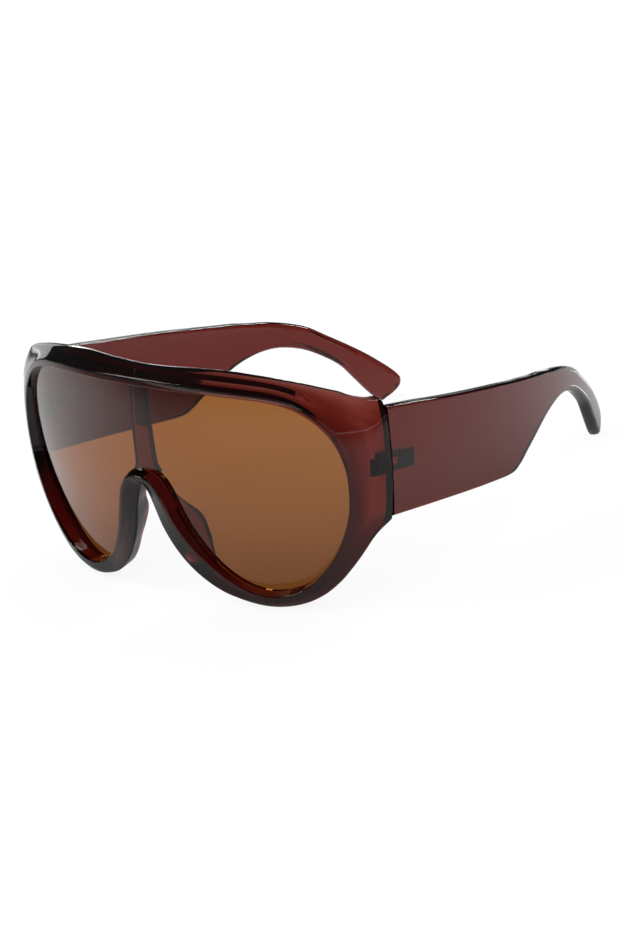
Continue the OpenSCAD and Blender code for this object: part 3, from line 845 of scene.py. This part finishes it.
tree = brown_lens.node_tree
place, parts, foot_darkening = new_nodes(tree, "TexCoord", "SeparateXYZ", "Mix")
foot_darkening.data_type = "RGBA"
foot_darkening.inputs["A"].default_value = LENS_FOOT
foot_darkening.inputs["B"].default_value = (1, 1, 1, 1)
tree.links.new(place.outputs["Object"], parts.inputs["Vector"])
tree.links.new(fade(tree, parts.outputs["Z"], 0, DARK_FOOT_HEIGHT, 0, 1), foot_darkening.inputs["Factor"])
tree.links.new(foot_darkening.outputs["Result"], tree.nodes["Principled BSDF"].inputs["Base Color"])
print(f"the lens has its full clearness from {DARK_FOOT_HEIGHT / MM:.1f} mm up")

# %% [markdown]
# Leaves and screws of the hinges keep the construction's own meshes, because their plain shapes
# are right. They show through the plastic as dark upright bands, so their metal is dull and
# dark. The handling marks, much finer here than on the plastic, give it its grain.

# %% Hinge metal
METAL_COLOUR = (0.24, 0.225, 0.21, 1)


def dull_metal():
    """Dark hinge metal with a fine grain."""
    material = bpy.data.materials.new("hinge metal")
    material.use_nodes = True
    shader = material.node_tree.nodes["Principled BSDF"]
    shader.inputs["Base Color"].default_value = METAL_COLOUR
    shader.inputs["Metallic"].default_value = 1
    marked(material, gloss=0.3, dull=0.4, patches=300, waves=900, wave_height=0.002)
    return material


hinge_metal = dull_metal()
hinge_pieces = [node for name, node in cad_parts.items() if "hinge" in name]
for node in hinge_pieces:
    dress(node, hinge_metal)
print(len(hinge_pieces), "hinge pieces in metal")

# %% [markdown]
# The glasses stand on a white table in soft studio light. The camera sees the table plain white,
# but polished plastic shows above all what it mirrors, so reflections meet the table as the
# studio has it: darker towards the camera, dark far away, and shaded under the glasses. Most of
# its white is a glow, which keeps it even, and the rest is lit, which gives the soft shadow.
# What shows through the plastic meets the same table without the shade.

# %% Table
TABLE_SIZE = 6.0
TABLE_WHITE = (0.95, 0.95, 0.95, 1)
TABLE_GLOW = 0.88  # the share of the table's white that no shadow takes away
ROOM = 0.04  # what reflections meet above the table and far away on it
FRONT_TABLE = 0.35  # how bright the table is on the camera's side
OWN_SHADE = 0.3  # how bright it is to reflections right under the glasses, where they shade it
AWAY = (-0.7, 0.7, 0)  # the way from the camera's side to the far side
SIDE_FADE = -0.16, 0.1  # metres along that way over which the table brightens
FAR_FADE = 0.3, 0.8  # metres from the middle over which it goes dark
SHADE_FADE = 0.05, 0.14  # metres from the middle over which the shade ends


def feed(tree, socket, value):
    """Gives a socket a number or another node's output."""
    if isinstance(value, bpy.types.NodeSocket):
        tree.links.new(value, socket)
    else:
        socket.default_value = value


def product(tree, first, second):
    """Two values multiplied."""
    (made,) = new_nodes(tree, "Math")
    made.operation = "MULTIPLY"
    feed(tree, made.inputs[0], first)
    feed(tree, made.inputs[1], second)
    return made.outputs["Value"]


def either(tree, switch, when_off, when_on):
    """One of two values, by a switch that is 0 or 1."""
    (made,) = new_nodes(tree, "Mix")
    feed(tree, made.inputs["Factor"], switch)
    feed(tree, made.inputs["A"], when_off)
    feed(tree, made.inputs["B"], when_on)
    return made.outputs["Result"]


half = TABLE_SIZE / 2
table_mesh = bpy.data.meshes.new("table")
table_corners = [(-half, -half, 0), (half, -half, 0), (half, half, 0), (-half, half, 0)]
table_mesh.from_pydata(table_corners, [], [(0, 1, 2, 3)])
table = bpy.data.objects.new("table", table_mesh)
bpy.context.scene.collection.objects.link(table)
table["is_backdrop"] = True
print(f"table of {TABLE_SIZE:.0f} m")

# %% The table's white
table_white = bpy.data.materials.new("table white")
table_white.use_nodes = True
tree = table_white.node_tree
tree.nodes.remove(tree.nodes["Principled BSDF"])
diffuse, glow, shown = new_nodes(tree, "BsdfDiffuse", "Emission", "MixShader")
place, along, distance, path = new_nodes(tree, "TexCoord", "VectorMath", "VectorMath", "LightPath")
along.operation = "DOT_PRODUCT"
along.inputs[1].default_value = AWAY
distance.operation = "LENGTH"
tree.links.new(place.outputs["Object"], along.inputs[0])
tree.links.new(place.outputs["Object"], distance.inputs[0])

open_table = product(
    tree,
    fade(tree, along.outputs["Value"], *SIDE_FADE, FRONT_TABLE, 1),
    fade(tree, distance.outputs["Value"], *FAR_FADE, 1, ROOM),
)
shade = fade(tree, distance.outputs["Value"], *SHADE_FADE, OWN_SHADE, 1)
pool = product(tree, open_table, either(tree, path.outputs["Is Transmission Ray"], shade, 1))
feed(tree, glow.inputs["Strength"], either(tree, path.outputs["Is Glossy Ray"], 1, pool))

diffuse.inputs["Color"].default_value = TABLE_WHITE
shown.inputs["Fac"].default_value = TABLE_GLOW
tree.links.new(diffuse.outputs["BSDF"], shown.inputs[1])
tree.links.new(glow.outputs["Emission"], shown.inputs[2])
tree.links.new(shown.outputs["Shader"], tree.nodes["Material Output"].inputs["Surface"])
table_white.cycles.emission_sampling = "NONE"  # the table is found by the rays that hit it
table_mesh.materials.append(table_white)

# %% [markdown]
# The world is white to the camera. To reflections it is white only up to the horizon, with a dim
# room above, and what shows through the plastic gets dimmer high up. A single white world would
# be simpler, but it would lay a grey veil of reflections over the whole lens.

# %% World
SKY_LIGHT = 1.0  # how bright the world is where it lights the scene
UPPER_ROOM = 0.35  # what shows through the plastic high above the table
HORIZON_FADE = -0.02, 0.03  # heights of a ray's direction over which reflections go to the room
UPPER_FADE = 0.3, 0.6  # and over which what shows through goes to the upper room

world = bpy.data.worlds.new("studio")
bpy.context.scene.world = world
world.use_nodes = True
tree = world.node_tree
place, parts, path = new_nodes(tree, "TexCoord", "SeparateXYZ", "LightPath")
tree.links.new(place.outputs["Generated"], parts.inputs["Vector"])
height = parts.outputs["Z"]
surroundings = tree.nodes["Background"]  # what a ray of no special kind meets
surroundings.inputs["Strength"].default_value = SKY_LIGHT
for kind, strength in (
    ("Is Glossy Ray", fade(tree, height, *HORIZON_FADE, 1, ROOM)),
    ("Is Transmission Ray", fade(tree, height, *UPPER_FADE, 1, UPPER_ROOM)),
    ("Is Camera Ray", 1),
):
    seen, chosen = new_nodes(tree, "Background", "MixShader")
    feed(tree, seen.inputs["Strength"], strength)
    tree.links.new(path.outputs[kind], chosen.inputs["Fac"])
    tree.links.new(surroundings.outputs[0], chosen.inputs[1])
    tree.links.new(seen.outputs["Background"], chosen.inputs[2])
    surroundings = chosen
backgrounds = [node for node in tree.nodes if node.type == "BACKGROUND"]
for background in backgrounds:
    background.inputs["Color"].default_value = (1, 1, 1, 1)
tree.links.new(surroundings.outputs[0], tree.nodes["World Output"].inputs["Surface"])
print("world with", len(backgrounds), "backgrounds")

# %% [markdown]
# Soft boxes draw the white lines along the rounded edges and the gloss on the lens. They aren't
# seen through the plastic, because the photograph shows plain white there.

# %% Soft boxes
SOFT_BOXES = {  # direction from the glasses, width and height in metres, power in watts
    "rear soft box": ((0.05, 0.84, 0.54), 0.4, 0.12, 1.2),
    "left soft box": ((-0.60, -0.43, 0.65), 0.36, 0.36, 2.4),
    "low strip light": ((-0.70, 0.69, 0.27), 0.36, 0.1, 1.3),
    "low left box": ((-0.92, 0.38, 0.13), 0.4, 0.22, 0.3),
}


def soft_box(name, direction, width, height, power):
    """A soft box a metre away that shines at the glasses from a direction."""
    light = bpy.data.lights.new(name, "AREA")
    light.shape = "RECTANGLE"
    light.size, light.size_y = width, height
    light.energy = power
    made = bpy.data.objects.new(name, light)
    made.location = Vector(direction).normalized()
    made.rotation_euler = (-made.location).to_track_quat("-Z", "Y").to_euler()
    made.visible_transmission = False
    bpy.context.scene.collection.objects.link(made)


for name, row in SOFT_BOXES.items():
    soft_box(name, *row)
print(len(SOFT_BOXES), "soft boxes")

# %% [markdown]
# The camera stands where the photograph was taken from: a long lens, a little above the table,
# to the left of the glasses' front and tilted slightly, found by matching edges of the glasses.

# %% Camera
IMAGE_WIDTH, IMAGE_HEIGHT = 621, 931  # of the photograph, in pixels
SENSOR = 36.0  # millimetres
AZIMUTH, ELEVATION, ROLL = math.radians(43.854), math.radians(20.896), math.radians(-8.802)
DISTANCE = 1442.1  # from the camera to what it aims at
FOCAL_PIXELS = 4642.4
AIM = Vector((16.57, 55.22, 27.11))
AXIS_X, AXIS_Y = 303.15, 463.59  # where the optical axis meets the photograph
CLIP_END = 20.0  # metres

level = math.cos(ELEVATION)
back = Vector((math.sin(AZIMUTH) * level, -math.cos(AZIMUTH) * level, math.sin(ELEVATION)))
right = Vector((math.cos(AZIMUTH), math.sin(AZIMUTH), 0))
up = back.cross(right)
right, up = (
    right * math.cos(ROLL) + up * math.sin(ROLL),
    up * math.cos(ROLL) - right * math.sin(ROLL),
)
optics = bpy.data.cameras.new("camera")
optics.sensor_width = SENSOR
optics.lens = FOCAL_PIXELS * SENSOR / IMAGE_HEIGHT
optics.shift_x = (IMAGE_WIDTH / 2 - AXIS_X) / IMAGE_HEIGHT
optics.shift_y = (AXIS_Y - IMAGE_HEIGHT / 2) / IMAGE_HEIGHT
optics.clip_end = CLIP_END
camera = bpy.data.objects.new("camera", optics)
stand = (AIM + back * DISTANCE) * MM + Vector((0, forward, 0))
camera.matrix_world = Matrix.Translation(stand) @ Matrix((right, up, back)).transposed().to_4x4()
bpy.context.scene.collection.objects.link(camera)
bpy.context.scene.camera = camera
print(f"camera with a {optics.lens:.0f} mm lens, {stand.length:.2f} m away")

# %% [markdown]
# Last, the colours are shown as they are, and the size of the dressed part is printed.

# %% Finish
bpy.context.scene.view_settings.view_transform = "Standard"
low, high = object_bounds()
print("dressed box in mm:", [round(v / MM, 1) for v in high - low])
